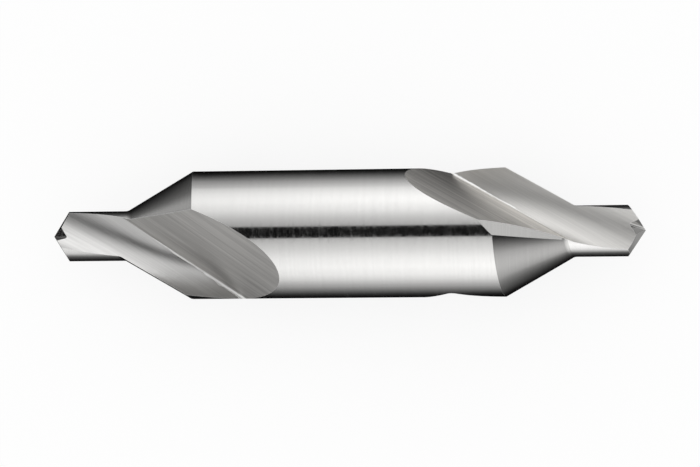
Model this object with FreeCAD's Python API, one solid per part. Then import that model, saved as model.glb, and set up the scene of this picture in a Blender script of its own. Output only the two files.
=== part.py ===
"""Centre drill: one hardened steel tool with a pilot and a countersink ground at each end.

The origin is on the axis, half way along the body. X runs along the axis, Z is up.
All sizes are in millimetres and all angles in degrees. Each end is built with its
corner between pilot and countersink at x = 0, its point towards -X and the body
towards +X.
"""
import FreeCAD, Part
import math
import os

Vector = FreeCAD.Vector

# Turned sizes
body_diameter = 16.0
body_length = 39.5
pilot_diameter = 6.4
cone_angle = 60.0
point_angle = 116.0
corner_fillet = 1.0

# Relief: how far the axis of each land is set off, so that it drops behind its cutting edge
pilot_relief = 0.10
cone_relief = 0.68
pilot_edge_turn = 42.0
cone_edge_turn = 70.0

# Drill point: a plane flank behind each lip, and a second one behind it
lip_flank_lean = 15.0
heel_flank_lean = -23.0

# Flute: a slightly crowned wall and a hollow rake face that meet in a straight root
flute_front = -10.0
flute_back = 22.0
root_crossing = 3.42
root_height = 1.58
root_angle = 34.6
root_dip = 6.3
root_fillet = 0.4
wall_radius = 60.0
wall_span = 17.0
front_rake = {"radius": 6.2, "start": -52.6, "end": 43.6}
back_rake = {"radius": 14.3, "start": 56.7, "end": 89.0}

# Heel: a narrow facet on the outer edge of the wall, along a line on the countersink
heel_start = (10.0, 3.5, 7.2)
heel_end = (1.4, 2.36, 2.4)
heel_lean = 8.0

# Web thinning: a small notch on each side of the chisel edge
notch_rise = 38.0
notch_lean = 6.0
notch_opening = 100.0
notch_side = 0.15
notch_height = 0.10
notch_fillet = 0.3

# The two ends are ground one by one and differ a little: in the length of the pilot, how the
# wall leans at its front and back, and the facet on the heel
near_end = {"pilot": 9.1, "wall_starts": (141.5, 130.6), "heel": False}
far_end = {"pilot": 8.8, "wall_starts": (132.3, 131.4), "heel": True}

# The far end is also turned about the axis
end_turn = 25.0

# Room for the cutters past the surfaces that they clear
clear = 1.0
rake_run_out = 6.0
heel_width = 3.0
notch_width = 8.0
near_zero = 0.01

body_radius = body_diameter / 2
pilot_radius = pilot_diameter / 2
half_cone = math.radians(cone_angle / 2)
half_point = math.radians(point_angle / 2)
cone_length = (body_radius - pilot_radius) / math.tan(half_cone)
reach = cone_length + body_length / 2

origin = Vector(0, 0, 0)
along = Vector(1, 0, 0)
upward = Vector(0, 0, 1)


def turned(outline, set_off):
    """Solid turned from (x, r) points, about an axis set off upwards."""
    points = [Vector(x, 0, r) for x, r in outline]
    face = Part.Face(Part.makePolygon(points + points[:1]))
    solid = face.revolve(origin, along, 360)
    solid.translate(upward * set_off)
    return solid


def land_radius(radius, relief, edge_turn):
    """Radius about the set-off axis that is on size at the cutting edge."""
    return radius - relief * math.cos(math.radians(edge_turn))


def block(place, first, second, depth):
    """Block on a face that reaches from place both ways along first and second."""
    corners = [place - first - second, place + first - second]
    corners += [place + first + second, place - first + second]
    return Part.Face(Part.makePolygon(corners + corners[:1])).extrude(depth)


def pilot(pilot_length):
    """Pilot of one land, with a flat end that the drill point is then ground on."""
    radius = land_radius(pilot_radius, pilot_relief, pilot_edge_turn)
    outline = [(-pilot_length, 0), (-pilot_length, radius), (reach, radius), (reach, 0)]
    return turned(outline, pilot_relief)


def flank(pilot_length, lean):
    """Cutter for a plane flank of the drill point, on the side y < 0."""
    out = Vector(1 / math.tan(half_point), -1, 0) * body_diameter
    over = Vector(math.tan(math.radians(lean)), 0, 1) * body_diameter
    return block(Vector(-pilot_length, 0, 0), out, over, -along * reach)


def countersink():
    """Countersink of one land, running out into the body."""
    radius = land_radius(pilot_radius, cone_relief, cone_edge_turn)
    apex = -radius / math.tan(half_cone)
    wide = (reach - apex) * math.tan(half_cone)
    return turned([(apex, 0), (reach, wide), (reach, 0)], cone_relief)


def corner_edges(shape):
    """Edges of the inner corner where the pilot meets the countersink."""
    def at_corner(edge):
        return max(abs(edge.BoundBox.XMin), abs(edge.BoundBox.XMax)) < cone_length / 2
    return [edge for edge in shape.Edges if at_corner(edge)]


def land(pilot_length):
    """Half of an end's blank, y < 0, relieved behind its cutting edge."""
    shape = pilot(pilot_length).fuse(countersink())
    shape = shape.makeFillet(corner_fillet, corner_edges(shape))
    length = pilot_length + reach
    bar = Part.makeCylinder(body_radius, length, along * -pilot_length, along)
    side = 2 * body_radius
    half_space = Part.makeBox(length, side, 2 * side, Vector(-pilot_length, -side, -side))
    return shape.common(bar).common(half_space)


def root_point(x):
    """Point of the flute's root line in the plane at x."""
    run = x - root_crossing
    y = -run * math.tan(math.radians(root_angle))
    z = root_height - run * math.tan(math.radians(root_dip))
    return Vector(x, y, z)


def arc_from(root, radius, start, end):
    """Arc that starts at the root, and its far end."""
    def on_arc(angle):
        turn = math.radians(angle)
        return Vector(0, -math.sin(turn), -math.cos(turn)) * radius
    centre = root - on_arc(start)
    middle = centre + on_arc((start + end) / 2)
    return Part.Arc(root, middle, centre + on_arc(end)).toShape(), centre + on_arc(end)


def flute_section(x, rake, wall_start):
    """Closed outline of the flute in the plane at x: rake, run-out, mouth and wall."""
    root = root_point(x)
    rake_arc, lip = arc_from(root, rake["radius"], rake["start"], rake["end"])
    wall_arc, wall_end = arc_from(root, wall_radius, wall_start, wall_start + wall_span)
    turn = math.radians(rake["end"])
    outside = lip + Vector(0, -math.cos(turn), math.sin(turn)) * rake_run_out
    mouth = [Part.makeLine(lip, outside), Part.makeLine(outside, wall_end)]
    return Part.Wire([rake_arc] + mouth + [wall_arc])


def flute(wall_starts):
    """Cutter for one flute, whose wall leans differently at the front and the back."""
    front = flute_section(flute_front, front_rake, wall_starts[0])
    back = flute_section(flute_back, back_rake, wall_starts[1])
    return Part.makeLoft([front, back], True, True)


def heel():
    """Cutter for the narrow facet on the outer edge of the wall."""
    start = Vector(*heel_start)
    run = Vector(*heel_end) - start
    lean = math.radians(heel_lean)
    normal = run.cross(Vector(0, -math.cos(lean), -math.sin(lean))).normalize()
    across = normal.cross(run).normalize() * heel_width
    return block(start + run / 4, run * 0.75, across, normal * heel_width)


def lies_on(edge, start, run):
    """Whether both ends of an edge are on the line through start along run."""
    offsets = [(vertex.Point - start).cross(run).Length for vertex in edge.Vertexes]
    return len(offsets) > 1 and max(offsets) < near_zero


def root_edges(shape):
    """Edges of both flutes' roots, where the wall meets the rake face."""
    start = root_point(0)
    run = root_point(1) - start
    half_turn = FreeCAD.Rotation(along, 180)
    lines = [(start, run), (half_turn.multVec(start), half_turn.multVec(run))]
    return [edge for edge in shape.Edges if any(lies_on(edge, *line) for line in lines)]


def notch(pilot_length):
    """Cutter that thins the web beside the chisel edge."""
    rise = math.radians(notch_rise)
    run = Vector(math.cos(rise), 0, math.sin(rise))
    over = Vector(-math.sin(rise), 0, math.cos(rise))
    root = Vector(-pilot_length, -notch_side, notch_height) - run * clear
    def leaning(angle):
        lean = math.radians(angle)
        return Vector(0, math.cos(lean), 0) + over * math.sin(lean)
    floor = leaning(notch_lean) * notch_width
    side = leaning(notch_lean + notch_opening) * notch_width
    outline = [root, root + floor, root + floor + side, root + side, root]
    cutter = Part.Face(Part.makePolygon(outline)).extrude(run * notch_width)
    valley = [edge for edge in cutter.Edges if lies_on(edge, root, run)]
    return cutter.makeFillet(notch_fillet, valley)


def opposite(shape):
    """The shape with its copy turned half way round the axis."""
    other = shape.copy()
    other.rotate(origin, along, 180)
    return shape, other


def cutting_end(end):
    """One finished end, from its point to the middle of the body."""
    first, second = opposite(land(end["pilot"]))
    blank = first.fuse(second)
    cutters = opposite(flute(end["wall_starts"]))
    for lean in (lip_flank_lean, heel_flank_lean):
        cutters += opposite(flank(end["pilot"], lean))
    for cutter in cutters:
        blank = blank.cut(cutter)
    blank = blank.makeFillet(root_fillet, root_edges(blank))
    cutters = opposite(notch(end["pilot"]))
    if end["heel"]:
        cutters += opposite(heel())
    for cutter in cutters:
        blank = blank.cut(cutter)
    return blank


def centre_drill():
    """The whole drill, with its far end turned about the axis."""
    body_middle = (near_end["pilot"] - far_end["pilot"]) / 2
    near = cutting_end(near_end)
    near.translate(along * (body_middle - reach))
    far = cutting_end(far_end)
    far.rotate(origin, along, end_turn)
    far.rotate(origin, upward, 180)
    far.translate(along * (body_middle + reach))
    return near.fuse(far).removeSplitter()


os.makedirs("parts", exist_ok=True)
drill = centre_drill()
drill.Solids[0].exportStep("parts/centre_drill.step")
print("solids", len(drill.Solids), "volume", round(drill.Volume, 2), "valid", drill.isValid())
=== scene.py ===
import bpy
import math
from mathutils import Matrix, Vector


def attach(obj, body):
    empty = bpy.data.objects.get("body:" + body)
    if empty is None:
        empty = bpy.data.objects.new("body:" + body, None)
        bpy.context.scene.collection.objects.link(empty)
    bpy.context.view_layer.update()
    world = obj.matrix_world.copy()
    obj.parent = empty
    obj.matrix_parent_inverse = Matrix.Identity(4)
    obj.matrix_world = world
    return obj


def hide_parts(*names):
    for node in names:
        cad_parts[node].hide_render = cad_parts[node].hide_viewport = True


bl_info = {
    "name": "Centre drill",
    "version": (1, 0, 0),
    "blender": (4, 5, 0),
    "location": "View3D > Sidebar > Centre drill",
    "description": "Ground steel surfaces of a centre drill, and the table it lies on",
    "category": "Object",
}

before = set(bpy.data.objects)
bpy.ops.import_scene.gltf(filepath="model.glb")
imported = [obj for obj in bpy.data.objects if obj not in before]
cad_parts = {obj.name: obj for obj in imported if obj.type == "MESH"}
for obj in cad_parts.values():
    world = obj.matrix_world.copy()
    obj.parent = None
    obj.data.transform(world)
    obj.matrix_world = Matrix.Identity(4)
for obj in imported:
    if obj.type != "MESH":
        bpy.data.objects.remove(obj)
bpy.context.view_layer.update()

MM = 0.001


def length(name, description, default_mm):
    return bpy.props.FloatProperty(
        name=name, description=description, default=default_mm * MM, unit="LENGTH", precision=5)


def turn(name, description, default_degrees):
    return bpy.props.FloatProperty(
        name=name, description=description, default=math.radians(default_degrees),
        subtype="ANGLE")


def share(name, description, default):
    return bpy.props.FloatProperty(
        name=name, description=description, default=default, min=0.0, max=1.0, subtype="FACTOR")


def tint(name, description, default):
    return bpy.props.FloatVectorProperty(
        name=name, description=description, default=default, size=3, min=0.0, max=1.0,
        subtype="COLOR")


class DrillForm(bpy.types.PropertyGroup):
    """Sizes that tell the ground surfaces of the solid from each other."""
    body_radius: length("Body radius", "Radius of the plain body", 8.0)
    pilot_radius: length("Pilot radius", "Radius of the pilot at its cutting edge", 3.2)
    near_pilot: length("Near pilot", "Length of the pilot at the -X end", 9.1)
    far_pilot: length("Far pilot", "Length of the pilot at the +X end", 8.8)
    near_corner: length("Near corner", "X of the corner of pilot and cone at the -X end", -27.9138)
    far_corner: length("Far corner", "X of the corner of pilot and cone at the +X end", 28.2138)
    far_turn: turn("Far turn", "How far the +X end is ground round from the other", 25.0)
    cone_angle: turn("Half cone angle", "Angle between the countersink and the axis", 30.0)
    point_angle: turn("Half point angle", "Angle between the drill point and the axis", 58.0)
    lip_flank: turn("Lip flank", "Lean of the flank behind a lip", 15.0)
    heel_flank: turn("Heel flank", "Lean of the second flank behind it", -23.0)
    pilot_relief: length("Pilot relief", "Set-off of a pilot land's axis", 0.10)
    cone_relief: length("Cone relief", "Set-off of a countersink land's axis", 0.68)
    pilot_edge: turn("Pilot edge", "Turn from Z to the pilot's cutting edge", 42.0)
    cone_edge: turn("Cone edge", "Turn from Z to the countersink's cutting edge", 70.0)
    root_crossing: length("Root crossing", "X at which the flute's root crosses Z", 3.42)
    root_height: length("Root height", "Height of the flute's root there", 1.58)
    root_angle: turn("Root angle", "Angle of the root in plan", 34.6)
    root_dip: turn("Root dip", "Fall of the root along X", 6.3)
    wall_radius: length("Wall radius", "Crown radius of the flute's wall", 60.0)
    wall_span: turn("Wall span", "Arc of the flute's wall", 17.0)
    near_front: turn("Near wall front", "Lean of the wall at its front, -X end", 141.5)
    near_back: turn("Near wall back", "Lean of the wall at its back, -X end", 130.6)
    far_front: turn("Far wall front", "Lean of the wall at its front, +X end", 132.3)
    far_back: turn("Far wall back", "Lean of the wall at its back, +X end", 131.4)
    flute_front: length("Flute front", "X of the flute's front section", -10.0)
    flute_back: length("Flute back", "X of the flute's back section", 22.0)
    front_radius: length("Front rake radius", "Radius of the rake face in the front section", 6.2)
    front_start: turn("Front rake start", "Where its arc leaves the root", -52.6)
    front_end: turn("Front rake end", "Where its arc ends", 43.6)
    back_radius: length("Back rake radius", "Radius of the rake face in the back section", 14.3)
    back_start: turn("Back rake start", "Where its arc leaves the root", 56.7)
    back_end: turn("Back rake end", "Where its arc ends", 89.0)


class DrillFinish(bpy.types.PropertyGroup):
    """Colours and finishes of the steel."""
    steel: tint("Steel", "Colour of the ground steel", (0.67, 0.665, 0.655))
    cone_steel: tint("Cone steel", "Colour of the countersinks", (0.53, 0.525, 0.515))
    # The flutes' walls and rakes are one ground finish at both ends; the +X end's colours are
    # painted lighter than the -X end's, as lit and shaded copies of the same steel
    wall_steel: tint("Wall steel", "Colour of the flute's wall at the -X end", (0.54, 0.53, 0.515))
    lit_far_wall: tint("Lit far wall", "Colour of the flute's wall at the +X end", (0.78, 0.76, 0.73))
    lit_far_rake: tint("Lit far rake", "Colour of the rake face at the +X end", (0.73, 0.72, 0.70))
    # The root's fillet is the same steel, but its colour is lighter: a painted highlight along the
    # flute's crease, on top of the light its curve really catches
    root_highlight_steel: tint("Root steel", "Colour of the fillet at the flute's root", (0.86, 0.855, 0.84))
    body_roughness: share("Body roughness", "Roughness of the ground body", 0.12)
    cone_roughness: share("Cone roughness", "Roughness of the countersinks", 0.17)
    wall_roughness: share("Wall roughness", "Roughness of the flutes' walls", 0.42)
    near_rake_roughness: share("Near rake roughness", "Roughness of the -X rake face", 0.31)
    far_rake_roughness: share("Far rake roughness", "Roughness of the +X rake face", 0.46)
    root_roughness: share("Root roughness", "Roughness of the fillet at the flute's root", 0.35)
    point_roughness: share("Point roughness", "Roughness of the drill point", 0.10)
    # The light lines on the edges are painted highlights
    edge_width: length("Edge width", "Width of the light line on a ground edge", 0.10)
    point_edge_width: length("Point edge width", "The same at the drill point", 0.02)


class StudioLight(bpy.types.PropertyGroup):
    """The table and the light around it."""
    floor_tint: tint("Table", "Colour of the table", (0.95, 0.95, 0.95))
    backdrop_share: share("Backdrop share", "How much of the table's white is its own light", 0.82)
    backdrop_strength: bpy.props.FloatProperty(
        name="Backdrop strength", description="Strength of that light, where 1 is white",
        default=1.0)
    tent_radius: bpy.props.FloatProperty(
        name="Tent radius", description="Radius of the light tent", default=1.0, unit="LENGTH")
    tent_strength: bpy.props.FloatProperty(
        name="Tent strength", description="Strength of the tent's lit sides", default=1.5)
    card_strength: bpy.props.FloatProperty(
        name="Card strength", description="Strength of the card's light, far from the drill",
        default=1.0)
    soft_shade: share("Soft shade", "Share of the light left in the tent's soft shade", 0.35)
    tip_light: share("Tip light", "Light of the card past the +X tip", 0.5)
    end_light: share("End light", "Light of the tent's -X end above the horizon", 0.7)
    near_gap_light: share("Near gap light", "Light in the tent's gap towards the -X end", 0.35)
    card_radius: bpy.props.FloatProperty(
        name="Card radius", description="Radius of the graded card on the table", default=0.9,
        unit="LENGTH")


# The surfaces of the drill, each as a function from a point to its distance and normal


def on_round(point, radius, axis_height, slope=0.0, apex=0.0):
    """Distance to a cylinder or cone about a line along X, and its outward normal."""
    out = Vector((0, point.y, point.z - axis_height))
    reach = out.length
    size = radius + (point.x - apex) * math.tan(slope)
    normal = Vector((-math.sin(slope), 0, 0)) + out / reach * math.cos(slope)
    return (reach - size) * math.cos(slope), normal


def on_plane(point, place, normal):
    """Distance to a plane, and its normal."""
    normal = normal.normalized()
    return (point - place).dot(normal), normal


def arc_point(radius, angle):
    """Point of an arc from its centre, at an angle from straight down."""
    return Vector((0, -math.sin(angle), -math.cos(angle))) * radius


def root_point(form, x):
    """Point of the flute's root line at x."""
    run = x - form.root_crossing
    return Vector((x, -run * math.tan(form.root_angle),
                   form.root_height - run * math.tan(form.root_dip)))


# Search for the place on an arc: its share of the arc, where each step cuts, and how often
SEARCH_RANGE = (-0.05, 1.05)
SEARCH_CUTS = (0.4, 0.6)
SEARCH_STEPS = 26
SLOPE_STEP = 0.001


def on_sweep(form, point, front_arc, back_arc):
    """Distance to the surface that an arc sweeps along the flute, its normal and its place."""
    front = root_point(form, form.flute_front)
    back = root_point(form, form.flute_back)

    def arc_place(root, arc, place):
        radius, start, end = arc
        turned = start + place * (end - start)
        return root + arc_point(radius, turned) - arc_point(radius, start)

    def at(place, along):
        return arc_place(front, front_arc, place).lerp(arc_place(back, back_arc, place), along)

    run = (point.x - form.flute_front) / (form.flute_back - form.flute_front)
    low, high = SEARCH_RANGE
    for _ in range(SEARCH_STEPS):
        first, second = (low + (high - low) * cut for cut in SEARCH_CUTS)
        if (at(first, run) - point).length < (at(second, run) - point).length:
            high = second
        else:
            low = first
    place = (low + high) / 2
    across = at(place + SLOPE_STEP, run) - at(place - SLOPE_STEP, run)
    along = at(place, run + SLOPE_STEP) - at(place, run - SLOPE_STEP)
    across_length = (front_arc[2] - front_arc[1]) * front_arc[0]
    lay = (run * (back - front).length, place * across_length, 0.0)
    return (at(place, run) - point).length, along.cross(across).normalized(), lay


def land_surfaces(form, pilot_length, side):
    """Surfaces of the land on one side of the axis, where y has the sign of side."""
    tip = Vector((-pilot_length, 0, 0))

    def land_radius(relief, edge):
        return form.pilot_radius - relief * math.cos(edge)

    def cone(p):
        radius = land_radius(form.cone_relief, form.cone_edge)
        return on_round(p, radius, -side * form.cone_relief, form.cone_angle)

    def pilot(p):
        radius = land_radius(form.pilot_relief, form.pilot_edge)
        return on_round(p, radius, -side * form.pilot_relief)

    def flank(lean):
        normal = Vector((-1, side / math.tan(form.point_angle), -side * math.tan(lean)))
        return lambda p: on_plane(p, tip, normal)

    found = [("cone", cone), ("pilot", pilot),
             ("point", flank(form.lip_flank)), ("point", flank(form.heel_flank))]
    near_axis = 1e-6
    far_off = (1.0, Vector((0, 0, 1)))
    return [(name, lambda p, own=own: own(p) if p.y * side > -near_axis else far_off)
            for name, own in found]


def half_turn(v):
    """A point or direction turned half way round the axis."""
    return Vector((v.x, -v.y, -v.z))


def flute_surfaces(form, wall_front, wall_back):
    """Wall and rake face of both flutes, which are half a turn apart."""
    wall = [(form.wall_radius, start, start + form.wall_span) for start in (wall_front, wall_back)]
    rake = [(form.front_radius, form.front_start, form.front_end),
            (form.back_radius, form.back_start, form.back_end)]
    surfaces = []
    for name, arcs in (("wall", wall), ("rake", rake)):
        def own(p, arcs=arcs):
            return on_sweep(form, p, *arcs)

        def opposite(p, arcs=arcs):
            distance, normal, lay = on_sweep(form, half_turn(p), *arcs)
            return distance, half_turn(normal), lay

        surfaces += [(name, own), (name, opposite)]
    return surfaces


def end_frames(form):
    """For each end: its frame to and from the part's, and its surfaces."""
    near = Matrix.Translation((form.near_corner, 0, 0))
    far = (Matrix.Translation((form.far_corner, 0, 0)) @ Matrix.Rotation(math.pi, 4, "Z")
           @ Matrix.Rotation(form.far_turn, 4, "X"))
    ends = []
    for place, pilot, wall in ((near, form.near_pilot, (form.near_front, form.near_back)),
                               (far, form.far_pilot, (form.far_front, form.far_back))):
        surfaces = [("body", lambda p: on_round(p, form.body_radius, 0.0))]
        surfaces += land_surfaces(form, pilot, 1) + land_surfaces(form, pilot, -1)
        surfaces += flute_surfaces(form, *wall)
        ends.append((place.inverted(), place, surfaces))
    return ends


# How far a corner of a face may lie off the surface that it belongs to, and how well the two
# normals agree, as a cosine
TIGHT = 2e-6
LOOSE = {"rake": 4e-5, "wall": 4e-6}
ALIGNED = 0.95


class Surface:
    """What is known of one face: its surface's name, its place on the surface for the grinding
    lines and, if the surface has a formula, exact normals."""

    def __init__(self, name="other", normals=None, lay=None):
        self.name = name
        self.normals = normals
        self.lay = lay


def name_surfaces(mesh, ends):
    """The surface that each face of the mesh lies on, where it has a formula."""
    found = []
    for face in mesh.polygons:
        to_local, to_part, surfaces = ends[0] if face.center.x < 0 else ends[1]
        points = [to_local @ mesh.vertices[v].co for v in face.vertices]
        flat = to_local.to_3x3() @ face.normal
        best = Surface()
        for name, surface in surfaces:
            limit = LOOSE.get(name, TIGHT)
            normals, lay = [], []
            for p in points:
                distance, normal, *place = surface(p)
                if abs(distance) > limit:
                    break
                normals.append(normal if normal.dot(flat) > 0 else -normal)
                lay.append(place[0] if place else tuple(p))
            if len(normals) == len(points) and min(n.dot(flat) for n in normals) > ALIGNED:
                exact = [(to_part.to_3x3() @ n).normalized() for n in normals]
                best = Surface(name, exact, lay)
                break
        if best.lay is None:
            best.lay = [tuple(p) for p in points]
        found.append(best)
    return found


# The finishes in the order of the material slots, and the finish of each surface
FINISHES = ("ground_body", "ground_cone", "near_wall", "far_wall", "near_rake", "far_rake",
            "ground_root", "ground_point")
FINISH_OF = {
    "body": "ground_body", "pilot": "ground_body", "cone": "ground_cone", "corner": "ground_cone",
    "heel": "ground_cone", "point": "ground_point", "notch": "ground_point",
    "wall": "wall", "rake": "rake", "root": "ground_root",
}


def finish_of(name, is_near):
    """Finish of a surface at the near (-X) or the far end."""
    finish = FINISH_OF[name]
    if finish in ("wall", "rake"):
        return ("near_" if is_near else "far_") + finish
    return finish


# How far the root's fillet lies from the root, and the corner's from the pilot's surface and
# along the axis, and how straight the corner's fillet faces away from the axis, as a cosine
ROOT_REACH = 0.6 * MM
CORNER_REACH = 0.6 * MM
CORNER_RUN = 1.6 * MM
FACES_OUT = 0.8


def name_rest(form, mesh, ends, found):
    """Name the small surfaces between those with a formula."""
    for face, surface in zip(mesh.polygons, found):
        if surface.name != "other":
            continue
        to_local = ends[0][0] if face.center.x < 0 else ends[1][0]
        place = to_local @ face.center
        root = root_point(form, place.x)
        from_root = min((place - root).length, (place - half_turn(root)).length)
        out = Vector((0, place.y, place.z))
        faces_out = (to_local.to_3x3() @ face.normal).dot(out.normalized()) > FACES_OUT
        on_pilot = abs(out.length - form.pilot_radius) < CORNER_REACH
        if place.x < -form.far_pilot / 2:
            surface.name = "notch"
        elif faces_out and on_pilot and place.x < CORNER_RUN:
            surface.name = "corner"
        elif from_root < ROOT_REACH:
            surface.name = "root"
        else:
            surface.name = "heel"


# Each fillet with the two surfaces that it runs into, and the bend across which a surface is
# still smooth
FILLETS = {"root": ("wall", "rake"), "corner": ("pilot", "cone")}
SAME_BEND = math.cos(math.radians(32))


def corner_normals(mesh, found):
    """Exact normals where the surface has a formula. A fillet runs smoothly into those."""
    own, exact = {}, {}
    for face, surface in zip(mesh.polygons, found):
        for k, v in enumerate(face.vertices):
            own.setdefault((v, surface.name), []).append(face.normal.copy())
            if surface.normals:
                exact.setdefault((v, surface.name), []).append(surface.normals[k])
    result = []
    for face, surface in zip(mesh.polygons, found):
        for k, v in enumerate(face.vertices):
            if surface.normals:
                result.append(surface.normals[k])
                continue
            near = [n for side in FILLETS.get(surface.name, ()) for n in exact.get((v, side), ())
                    if n.dot(face.normal) > SAME_BEND]
            if not near:
                near = [n for n in own[(v, surface.name)] if n.dot(face.normal) > SAME_BEND]
                near = [sum(near, Vector((0, 0, 0))).normalized()]
            result.append(max(near, key=lambda n: n.dot(face.normal)))
    return result


# Corners of the solid's mesh that lie closer than this are one
MERGE_DISTANCE = 1e-7


class DRILL_OT_ground_steel(bpy.types.Operator):
    """Make the drill's steel: one smooth piece with a finish for each way it was ground; the +X
    end's flutes and the root's fillet are painted lighter
    """
    bl_idname = "drill.ground_steel"
    bl_label = "Ground steel"

    def execute(self, context):
        form = context.scene.drill_form
        bpy.ops.object.select_all(action="DESELECT")
        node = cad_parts["centre_drill"]
        steel = bpy.data.objects.new("drill_steel", node.data.copy())
        context.collection.objects.link(steel)
        steel.select_set(True)
        context.view_layer.objects.active = steel
        bpy.ops.mesh.customdata_custom_splitnormals_clear()
        bpy.ops.object.mode_set(mode="EDIT")
        bpy.ops.mesh.select_all(action="SELECT")
        bpy.ops.mesh.remove_doubles(threshold=MERGE_DISTANCE)
        bpy.ops.object.mode_set(mode="OBJECT")
        mesh = steel.data
        ends = end_frames(form)
        found = name_surfaces(mesh, ends)
        name_rest(form, mesh, ends, found)
        mesh.materials.clear()
        for finish in FINISHES:
            mesh.materials.append(make_finish(finish, context.scene.drill_finish))
        for face, surface in zip(mesh.polygons, found):
            finish = finish_of(surface.name, face.center.x < 0)
            face.material_index = FINISHES.index(finish)
            face.use_smooth = True
        lay = mesh.attributes.new("lay", "FLOAT_VECTOR", "CORNER")
        places = [place for surface in found for place in surface.lay]
        for slot, place in zip(lay.data, places):
            slot.vector = place
        mesh.normals_split_custom_set(corner_normals(mesh, found))
        names = {surface.name for surface in found}
        if not {"body", "wall", "rake", "cone"} <= names:
            raise RuntimeError("the drill's surfaces don't follow the sizes given")
        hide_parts("centre_drill")
        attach(steel, "root")
        return {"FINISHED"}


# Materials


def add(tree, kind, inputs=None, **settings):
    """A node with its settings, and its inputs set or linked."""
    made = tree.nodes.new("ShaderNode" + kind)
    for name, value in settings.items():
        setattr(made, name, value)
    for name, value in (inputs or {}).items():
        socket = made.inputs[name]
        if isinstance(value, bpy.types.NodeSocket):
            tree.links.new(value, socket)
        else:
            socket.default_value = value
    return made


def fade(tree, value, start, end, low=0.0, high=1.0):
    """Value that runs from low at start to high at end, and stays there beyond."""
    return add(tree, "MapRange", {"Value": value, "From Min": start, "From Max": end,
                                  "To Min": low, "To Max": high}).outputs[0]


def math_node(tree, operation, *values):
    """Result of a Math node."""
    return add(tree, "Math", dict(enumerate(values)), operation=operation).outputs[0]


def mix_colour(tree, factor, first, second):
    """The first colour, mixed with the second by the factor."""
    return add(tree, "Mix", {0: factor, 6: first, 7: second}, data_type="RGBA").outputs[2]


def new_group(name, inputs, outputs):
    """An empty shader node group with named inputs and outputs."""
    tree = bpy.data.node_groups.new(name, "ShaderNodeTree")
    for label, kind, value in inputs:
        socket = tree.interface.new_socket(label, in_out="INPUT", socket_type="NodeSocket" + kind)
        if value is not None:
            socket.default_value = value
    for label, kind in outputs:
        tree.interface.new_socket(label, in_out="OUTPUT", socket_type="NodeSocket" + kind)
    return tree, tree.nodes.new("NodeGroupInput"), tree.nodes.new("NodeGroupOutput")


PER_MM = (1 / MM, 1 / MM, 1 / MM)
RIGHT_ANGLE = math.pi / 2
WHITE = (1, 1, 1, 1)
# The noise of the grinding lines and of the wider bands between them, its range that is used,
# and the mean of the result
LINE_DETAIL, LINE_ROUGHNESS = 3.0, 0.65
BAND_SCALE, BAND_DETAIL = 0.22, 1.0
NOISE_RANGE = (0.3, 0.7)
MEAN = 0.5


def grinding_lines():
    """Group: fine parallel lines as a value from 0 to 1. Scale is in lines per mm each way."""
    if "grinding_lines" in bpy.data.node_groups:
        return bpy.data.node_groups["grinding_lines"]
    tree, given, result = new_group(
        "grinding_lines",
        [("Vector", "Vector", None), ("Scale", "Vector", (4.0, 0.1, 0.1)),
         ("Bands", "Float", 0.35)],
        [("Value", "Float")])
    placed = add(tree, "VectorMath", {0: given.outputs["Vector"], 1: given.outputs["Scale"]},
                 operation="MULTIPLY")
    lines = add(tree, "TexNoise", {"Vector": placed.outputs[0], "Scale": 1.0,
                                   "Detail": LINE_DETAIL, "Roughness": LINE_ROUGHNESS})
    bands = add(tree, "TexNoise", {"Vector": placed.outputs[0], "Scale": BAND_SCALE,
                                   "Detail": BAND_DETAIL})
    both = add(tree, "Mix", {0: given.outputs["Bands"], 2: lines.outputs["Fac"],
                             3: bands.outputs["Fac"]})
    tree.links.new(fade(tree, both.outputs[0], *NOISE_RANGE), result.inputs["Value"])
    return tree


# The light line on an edge, a painted highlight: samples of its rounding, and the cosines of
# the turn between which it comes up
EDGE_SAMPLES = 8
EDGE_TURN = (0.995, 0.95)
EDGE_HIGHLIGHT_COLOUR = (0.80, 0.80, 0.79, 1)
EDGE_ROUGHNESS = 0.5


def painted_edge_highlight():
    """Group: mask of a painted highlight line along an edge."""
    if "painted_edge_highlight" in bpy.data.node_groups:
        return bpy.data.node_groups["painted_edge_highlight"]
    tree, given, result = new_group("painted_edge_highlight", [("Width", "Float", 0.07 * MM)],
                                    [("Mask", "Float")])
    bevel = add(tree, "Bevel", {"Radius": given.outputs["Width"]}, samples=EDGE_SAMPLES)
    flat = add(tree, "NewGeometry")
    alike = add(tree, "VectorMath", {0: bevel.outputs[0], 1: flat.outputs["Normal"]},
                operation="DOT_PRODUCT")
    tree.links.new(fade(tree, alike.outputs["Value"], *EDGE_TURN), result.inputs["Mask"])
    return tree


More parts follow.
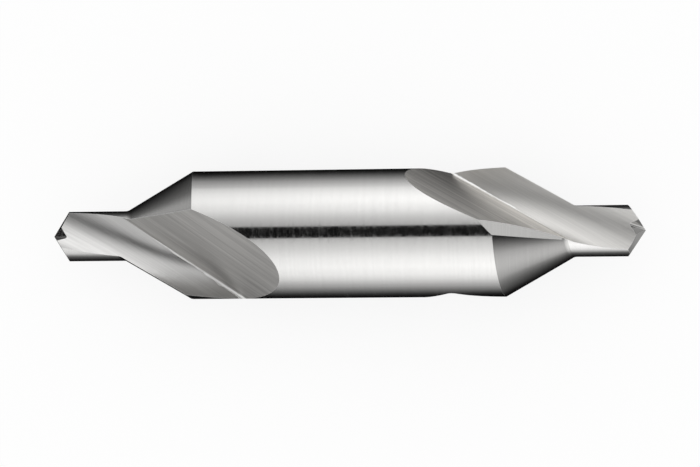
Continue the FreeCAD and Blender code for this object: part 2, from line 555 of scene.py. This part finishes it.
def steel_tone():
    """Group: colour and roughness of steel from its lines and its blotches, with a painted
    highlight on its edges.
    """
    if "steel_tone" in bpy.data.node_groups:
        return bpy.data.node_groups["steel_tone"]
    tree, given, result = new_group(
        "steel_tone",
        [("Colour", "Color", (0.66, 0.655, 0.645, 1)), ("Roughness", "Float", 0.3),
         ("Lines", "Float", 0.5), ("Blotches", "Float", 0.5), ("Edge", "Float", 0.0),
         ("Contrast", "Float", 0.1), ("Unevenness", "Float", 0.1)],
        [("Colour", "Color"), ("Roughness", "Float")])
    from_mean = math_node(tree, "SUBTRACT", given.outputs["Lines"], MEAN)
    tone = math_node(tree, "MULTIPLY_ADD", from_mean, given.outputs["Contrast"], 1.0)
    toned = add(tree, "VectorMath", {0: given.outputs["Colour"], "Scale": tone},
                operation="SCALE")
    # Painted highlight: the edge mask mixes the colour towards a lighter grey
    colour = mix_colour(tree, given.outputs["Edge"], toned.outputs[0], EDGE_HIGHLIGHT_COLOUR)
    uneven = math_node(tree, "SUBTRACT", given.outputs["Blotches"], MEAN)
    rough = math_node(tree, "MULTIPLY_ADD", uneven, given.outputs["Unevenness"],
                      given.outputs["Roughness"])
    rough = add(tree, "Mix", {0: given.outputs["Edge"], 2: rough, 3: EDGE_ROUGHNESS})
    tree.links.new(colour, result.inputs["Colour"])
    tree.links.new(rough.outputs[0], result.inputs["Roughness"])
    return tree


def group_node(tree, group, inputs):
    """A node of a group, with its inputs set or linked by name."""
    made = add(tree, "Group", node_tree=group)
    for name, value in inputs.items():
        if isinstance(value, bpy.types.NodeSocket):
            tree.links.new(value, made.inputs[name])
        else:
            made.inputs[name].default_value = value
    return made


class Lay:
    """How the grinding lines of one finish run: lines and blotches per mm each way."""

    def __init__(self, lines, bands, blotches, contrast, unevenness, depth_mm, along_flute=False):
        self.lines = lines
        self.bands = bands
        self.blotches = blotches
        self.contrast = contrast
        self.unevenness = unevenness
        self.depth_mm = depth_mm
        self.along_flute = along_flute


LAYS = {
    "ground_body": Lay((3.5, 0.05, 0.05), 0.3, (7.0, 1.6, 1.6), 0.04, 0.20, 0.0015),
    "ground_cone": Lay((9.0, 0.05, 0.05), 0.2, (6.0, 0.5, 0.5), 0.10, 0.05, 0.001),
    "near_wall": Lay((0.08, 4.0, 1.0), 0.40, (0.15, 4.0, 1.0), 0.60, 0.08, 0.008, True),
    "far_wall": Lay((0.08, 4.0, 1.0), 0.40, (0.15, 4.0, 1.0), 0.70, 0.08, 0.008, True),
    "near_rake": Lay((0.06, 3.0, 1.0), 0.4, (0.15, 3.0, 1.0), 0.30, 0.08, 0.005, True),
    "far_rake": Lay((0.06, 3.0, 1.0), 0.4, (0.15, 3.0, 1.0), 0.22, 0.08, 0.005, True),
    "ground_root": Lay((0.06, 3.0, 1.0), 0.4, (0.15, 3.0, 1.0), 0.10, 0.05, 0.001),
    "ground_point": Lay((5.0, 5.0, 5.0), 0.3, (5.0, 5.0, 5.0), 0.10, 0.04, 0.0005),
}


def make_finish(name, finish):
    """The material of one way of grinding. The colours of the +X end's flutes and of the root's
    fillet are painted lighter.
    """
    material = bpy.data.materials.new(name)
    material.use_nodes = True
    tree = material.node_tree
    tree.nodes.clear()
    colour, roughness, edge_width = {
        "ground_body": (finish.steel, finish.body_roughness, finish.edge_width),
        "ground_cone": (finish.cone_steel, finish.cone_roughness, finish.edge_width),
        # Painted light: the +X end's wall and rake take lighter colours than the -X end's
        "near_wall": (finish.wall_steel, finish.wall_roughness, finish.edge_width),
        "far_wall": (finish.lit_far_wall, finish.wall_roughness, finish.edge_width),
        "near_rake": (finish.steel, finish.near_rake_roughness, finish.edge_width),
        "far_rake": (finish.lit_far_rake, finish.far_rake_roughness, finish.edge_width),
        # Painted highlight: the root's fillet takes a lighter colour than the rest of the steel
        "ground_root": (finish.root_highlight_steel, finish.root_roughness, finish.edge_width),
        "ground_point": (finish.cone_steel, finish.point_roughness, finish.point_edge_width),
    }[name]
    lay = LAYS[name]
    if lay.along_flute:
        place = add(tree, "Attribute", attribute_name="lay").outputs["Vector"]
    else:
        place = add(tree, "TexCoord").outputs["Object"]
    in_mm = add(tree, "Mapping", {"Vector": place, "Scale": PER_MM}).outputs[0]
    lines = group_node(tree, grinding_lines(), {"Vector": in_mm, "Scale": lay.lines,
                                                "Bands": lay.bands})
    blotches = group_node(tree, grinding_lines(), {"Vector": in_mm, "Scale": lay.blotches,
                                                   "Bands": lay.bands})
    # Painted highlight line along the edges, at the width given
    edge = group_node(tree, painted_edge_highlight(), {"Width": edge_width})
    tone = group_node(tree, steel_tone(), {
        "Colour": (*colour, 1), "Roughness": roughness, "Lines": lines.outputs["Value"],
        "Blotches": blotches.outputs["Value"], "Edge": edge.outputs["Mask"],
        "Contrast": lay.contrast, "Unevenness": lay.unevenness})
    bump = add(tree, "Bump", {"Height": lines.outputs["Value"], "Distance": lay.depth_mm * MM,
                              "Strength": 1.0})
    steel = add(tree, "BsdfPrincipled", {
        "Base Color": tone.outputs["Colour"], "Roughness": tone.outputs["Roughness"],
        "Metallic": 1.0, "Normal": bump.outputs[0]})
    add(tree, "OutputMaterial", {"Surface": steel.outputs[0]})
    return material


# Stage


def ramp(tree, value, stops):
    """A colour ramp of grey stops."""
    made = add(tree, "ValToRGB", {"Fac": value})
    elements = made.color_ramp.elements
    while len(elements) > 1:
        elements.remove(elements[-1])
    elements[0].position = stops[0][0]
    elements[0].color = (*[stops[0][1]] * 3, 1)
    for place, grey in stops[1:]:
        new = elements.new(place)
        new.color = (grey, grey, grey, 1)
    return made.outputs["Color"]


# Light of the tent by its turn about X from straight up, in degrees
TENT_ROUND = [(-90, 0.68), (-78, 0.87), (-61, 0.98), (-45, 0.90), (-30, 0.72), (-15, 0.56),
              (-7.5, 0.47), (13.0, 0.38), (28, 0.56), (43, 0.83), (59, 1.0), (67, 1.0),
              (78, 0.90), (90, 0.71)]
# The dark gap along its top: in the middle, and towards the +X end, where it is wider
GAP = [(-90, 1.0), (-7.5, 1.0), (-6.5, 0.012), (13.0, 0.012), (14.0, 1.0), (90, 1.0)]
GAP_END = [(-90, 1.0), (-45, 1.0), (-37, 0.85), (-21, 0.45), (-12, 0.18), (-8, 0.012),
           (13.0, 0.012), (14.0, 1.0), (90, 1.0)]
# Light of the tent and the card towards the ends, by the X of the direction
ALONG = [(-1.0, 0.0), (-0.93, 0.02), (-0.86, 0.48), (-0.8, 0.54), (-0.7, 0.48), (-0.6, 0.47),
         (-0.45, 0.54), (-0.22, 0.78), (-0.1, 0.94), (0.0, 1.0), (0.25, 1.0), (0.5, 0.85),
         (0.68, 0.72), (0.76, 0.66), (0.81, 0.54), (0.87, 0.42), (0.93, 0.5), (1.0, 0.9)]
# Where the gap turns into its two end forms, by the X of the direction
FAR_GAP = (0.5, 0.8)
NEAR_GAP = (-0.2, -0.4)
# Where the light of the -X end comes up, by the X and the Z of the direction
END_LIGHT_X = (-0.88, -0.95)
END_LIGHT_Z = (0.05, 0.15)
# A soft shade in the tent: its direction, and the turns off it where it starts to fade and where
# it ends, in degrees
SOFT_SHADE = ((0.33, 0.68, 0.62), 8, 20)
# Light of the card by the distance from the drill's outline in mm. Close to the outline the
# card is dark: a painted shadow of the drill on the table, as the steel mirrors it
CARD_AWAY = [(0, 0.0), (6, 0.01), (8, 0.03), (11, 0.08), (13, 0.125), (20, 0.27), (34, 0.50),
             (72, 0.72), (150, 0.85), (450, 1.0)]
# The same by the turn of a place on the card, from the drill's line to square with it, in
# degrees, and the distances over which this fades out, in mm
CARD_TURN = [(0, 1.0), (18, 0.9), (26, 0.6), (41, 0.65), (55, 1.0), (90, 1.0)]
CARD_TURN_FADE = (40.0, 110.0)
# The height that turns a place on the card into a direction, for its light along X, in mm
CARD_AIM_HEIGHT = 100.0
# The drill's outline as the card follows it: X along a countersink, and X of the tip, in mm
CONE_RUN = (20.0, 28.0)
TIP_X = 37.0
# The light patch past the +X tip: its edges along X and across, in mm
PATCH_RUN = (TIP_X, 42.0)
PATCH_SIDE = (12.0, 7.0)


def glow(name, strength):
    """An emission material, with its tree and its shader, for the caller to wire."""
    material = bpy.data.materials.new(name)
    material.use_nodes = True
    tree = material.node_tree
    tree.nodes.clear()
    shine = add(tree, "Emission", {"Strength": strength})
    add(tree, "OutputMaterial", {"Surface": shine.outputs[0]})
    return material, tree, shine


def along_light(tree, x):
    """Grey of the light by the X of a direction from -1 to 1."""
    return ramp(tree, fade(tree, x, -1.0, 1.0), [((a + 1) / 2, v) for a, v in ALONG])


def product(tree, first, second):
    """Two greys or colours multiplied."""
    return add(tree, "VectorMath", {0: first, 1: second}, operation="MULTIPLY").outputs[0]


def brighter(tree, first, second):
    """The brighter of two greys or colours."""
    return add(tree, "VectorMath", {0: first, 1: second}, operation="MAXIMUM").outputs[0]


def close_to(tree, aim, towards, inner, outer):
    """Value that is 1 within the inner turn off a direction and fades to 0 at the outer one."""
    alike = add(tree, "VectorMath", {0: aim, 1: Vector(towards).normalized()},
                operation="DOT_PRODUCT")
    return fade(tree, alike.outputs["Value"], math.cos(math.radians(outer)),
                math.cos(math.radians(inner)))


def tent_material(light):
    """Light tent: graded round the drill and along it, with a dark gap along its top."""
    material, tree, shine = glow("tent_cloth", light.tent_strength)
    place = add(tree, "TexCoord").outputs["Object"]
    aim = add(tree, "VectorMath", {0: place}, operation="NORMALIZE")
    parts = add(tree, "SeparateXYZ", {0: aim.outputs[0]})
    x, y, z = parts.outputs
    angle = fade(tree, math_node(tree, "ARCTAN2", y, z), -RIGHT_ANGLE, RIGHT_ANGLE)
    round_light, gap, gap_end = (
        ramp(tree, angle, [((a + 90) / 180, v) for a, v in stops])
        for stops in (TENT_ROUND, GAP, GAP_END))
    gap = mix_colour(tree, fade(tree, x, *FAR_GAP), gap, gap_end)
    gap = mix_colour(tree, fade(tree, x, *NEAR_GAP, high=light.near_gap_light), gap, WHITE)
    end_light = math_node(tree, "MULTIPLY", fade(tree, x, *END_LIGHT_X, high=light.end_light),
                          fade(tree, z, *END_LIGHT_Z))
    along = brighter(tree, along_light(tree, x), end_light)
    light_here = product(tree, product(tree, round_light, gap), along)
    shade = fade(tree, close_to(tree, aim.outputs[0], *SOFT_SHADE), 0.0, 1.0,
                 low=1.0, high=light.soft_shade)
    tree.links.new(product(tree, light_here, shade), shine.inputs["Color"])
    return material


def card_material(light, form):
    """Graded card round the drill, as the steel sees it: dark close by, a painted shadow of the
    drill on the table, and dark towards the ends.
    """
    material, tree, shine = glow("graded_card", light.card_strength)
    place = add(tree, "TexCoord").outputs["Object"]
    in_mm = add(tree, "Mapping", {"Vector": place, "Scale": PER_MM})
    parts = add(tree, "SeparateXYZ", {0: in_mm.outputs[0]})
    x = math_node(tree, "ABSOLUTE", parts.outputs["X"])
    y = math_node(tree, "ABSOLUTE", parts.outputs["Y"])
    outline = fade(tree, x, *CONE_RUN, low=form.body_radius / MM, high=form.pilot_radius / MM)
    beside = math_node(tree, "MAXIMUM", math_node(tree, "SUBTRACT", y, outline), 0.0)
    beyond = math_node(tree, "MAXIMUM", math_node(tree, "SUBTRACT", x, TIP_X), 0.0)
    gap = add(tree, "CombineXYZ", {"X": beside, "Y": beyond})
    away = add(tree, "VectorMath", {0: gap.outputs[0]}, operation="LENGTH").outputs["Value"]
    reach = CARD_AWAY[-1][0]
    # Painted shadow: dark close to the drill's outline
    shadow_by_distance = ramp(tree, math_node(tree, "DIVIDE", away, reach),
                       [(d / reach, v) for d, v in CARD_AWAY])
    turned = fade(tree, math_node(tree, "ARCTAN2", y, x), 0.0, RIGHT_ANGLE)
    by_turn = ramp(tree, turned, [(a / 90, v) for a, v in CARD_TURN])
    by_turn = mix_colour(tree, fade(tree, away, *CARD_TURN_FADE), by_turn, WHITE)
    raised = add(tree, "CombineXYZ", {"X": parts.outputs["X"], "Y": parts.outputs["Y"],
                                      "Z": CARD_AIM_HEIGHT})
    aim = add(tree, "VectorMath", {0: raised.outputs[0]}, operation="NORMALIZE")
    aim_x = add(tree, "SeparateXYZ", {0: aim.outputs[0]}).outputs["X"]
    light_here = product(tree, product(tree, shadow_by_distance, by_turn), along_light(tree, aim_x))
    tip_light = math_node(
        tree, "MULTIPLY", fade(tree, parts.outputs["X"], *PATCH_RUN, high=light.tip_light),
        fade(tree, y, *PATCH_SIDE))
    tree.links.new(brighter(tree, light_here, tip_light), shine.inputs["Color"])
    return material


def table_material(light):
    """White table: diffuse, and partly a lit backdrop for the camera and for what mirrors it."""
    material = bpy.data.materials.new("white_table")
    material.use_nodes = True
    tree = material.node_tree
    tree.nodes.clear()
    cloth = add(tree, "BsdfDiffuse", {"Color": (*light.floor_tint, 1)})
    lit = add(tree, "Emission", {"Color": WHITE, "Strength": light.backdrop_strength})
    path = add(tree, "LightPath")
    seen = math_node(tree, "ADD", path.outputs["Is Camera Ray"], path.outputs["Is Glossy Ray"])
    seen = math_node(tree, "ADD", seen, path.outputs["Is Transmission Ray"])
    seen = math_node(tree, "MINIMUM", seen, 1.0)
    lifted = math_node(tree, "MULTIPLY", seen, light.backdrop_share)
    both = add(tree, "MixShader", {0: lifted, 1: cloth.outputs[0], 2: lit.outputs[0]})
    add(tree, "OutputMaterial", {"Surface": both.outputs[0]})
    return material


# Width of the table, the sides of the tent and of the card, and the card's height on the table
TABLE_SIZE = 4.0
ROUND_SIDES, TENT_RINGS = 96, 48
CARD_LIFT = 0.05 * MM


def finish_stage_piece(context, name, material):
    piece = context.active_object
    bpy.ops.object.transform_apply(location=True, rotation=True, scale=True)
    piece.name = name
    piece.data.materials.append(material)
    return piece


class DRILL_OT_stage(bpy.types.Operator):
    """Lay the white table, hang the light tent round it and aim the camera"""
    bl_idname = "drill.stage"
    bl_label = "Table, light and camera"

    def execute(self, context):
        light = context.scene.studio_light
        form = context.scene.drill_form
        table = -form.body_radius
        bpy.ops.object.select_all(action="DESELECT")
        bpy.ops.mesh.primitive_plane_add(size=TABLE_SIZE, location=(0, 0, table))
        finish_stage_piece(context, "table", table_material(light))
        bpy.ops.mesh.primitive_uv_sphere_add(
            segments=ROUND_SIDES, ring_count=TENT_RINGS, radius=light.tent_radius,
            location=(0, 0, 0))
        bpy.ops.object.mode_set(mode="EDIT")
        bpy.ops.mesh.select_all(action="SELECT")
        bpy.ops.mesh.bisect(plane_co=(0, 0, table), plane_no=(0, 0, 1), clear_inner=True)
        bpy.ops.object.mode_set(mode="OBJECT")
        tent = finish_stage_piece(context, "light_tent", tent_material(light))
        bpy.ops.object.select_all(action="DESELECT")
        bpy.ops.mesh.primitive_circle_add(
            vertices=ROUND_SIDES, radius=light.card_radius, fill_type="NGON",
            location=(0, 0, table + CARD_LIFT))
        card = finish_stage_piece(context, "graded_card", card_material(light, form))
        for mirrored in (tent, card):
            mirrored.visible_camera = False
            mirrored.visible_diffuse = False
            mirrored.visible_shadow = False
            mirrored.visible_transmission = False
        lay_world(context)
        aim_camera(context)
        context.scene.view_settings.view_transform = "Standard"
        return {"FINISHED"}


def lay_world(context):
    """Plain white light all round for diffuse surfaces. The steel mirrors the tent instead."""
    world = bpy.data.worlds.new("white_room")
    context.scene.world = world
    world.use_nodes = True
    back = world.node_tree.nodes["Background"]
    back.inputs["Color"].default_value = WHITE
    back.inputs["Strength"].default_value = 1.0
    world.cycles_visibility.glossy = False


# The camera's distance, how far it leans to +X and rolls, and its lens in the photo's pixels
CAMERA_AWAY = 0.2577
CAMERA_TURN = math.radians(6.0)
CAMERA_ROLL = math.radians(0.62)
PHOTO_WIDTH, FOCAL_PIXELS = 700, 2070
PHOTO_SHIFT = (4.387, 0.15)
SENSOR_MM = 36.0
NEAREST = 0.01


def aim_camera(context):
    """Camera above the drill, as the photograph has it."""
    data = bpy.data.cameras.new("camera")
    data.sensor_width = SENSOR_MM
    data.lens = FOCAL_PIXELS / PHOTO_WIDTH * data.sensor_width
    data.shift_x = PHOTO_SHIFT[0] / PHOTO_WIDTH
    data.shift_y = PHOTO_SHIFT[1] / PHOTO_WIDTH
    camera = bpy.data.objects.new("camera", data)
    context.collection.objects.link(camera)
    back = Vector((math.sin(CAMERA_TURN), 0, math.cos(CAMERA_TURN)))
    right = Vector((math.cos(CAMERA_TURN), 0, -math.sin(CAMERA_TURN)))
    up = Vector((0, 1, 0))
    rolled_right = right * math.cos(CAMERA_ROLL) - up * math.sin(CAMERA_ROLL)
    rolled_up = right * math.sin(CAMERA_ROLL) + up * math.cos(CAMERA_ROLL)
    turned = Matrix((rolled_right, rolled_up, back)).transposed().to_4x4()
    camera.matrix_world = Matrix.Translation(back * CAMERA_AWAY) @ turned
    data.clip_start = NEAREST
    context.scene.camera = camera


class DRILL_PT_panel(bpy.types.Panel):
    """The drill's sizes, its finishes and its stage"""
    bl_idname = "DRILL_PT_panel"
    bl_label = "Centre drill"
    bl_space_type = "VIEW_3D"
    bl_region_type = "UI"
    bl_category = "Centre drill"

    def draw(self, context):
        for group in ("drill_form", "drill_finish", "studio_light"):
            settings = getattr(context.scene, group)
            column = self.layout.column()
            for name in settings.__annotations__:
                column.prop(settings, name)
        self.layout.operator("drill.ground_steel")
        self.layout.operator("drill.stage")


CLASSES = (DrillForm, DrillFinish, StudioLight, DRILL_OT_ground_steel, DRILL_OT_stage,
           DRILL_PT_panel)


def register():
    for kind in CLASSES:
        bpy.utils.register_class(kind)
    bpy.types.Scene.drill_form = bpy.props.PointerProperty(type=DrillForm)
    bpy.types.Scene.drill_finish = bpy.props.PointerProperty(type=DrillFinish)
    bpy.types.Scene.studio_light = bpy.props.PointerProperty(type=StudioLight)


def unregister():
    for name in ("drill_form", "drill_finish", "studio_light"):
        delattr(bpy.types.Scene, name)
    for kind in reversed(CLASSES):
        bpy.utils.unregister_class(kind)


def main():
    register()
    bpy.ops.drill.ground_steel()
    bpy.ops.drill.stage()


if __name__ == "__main__":
    main()
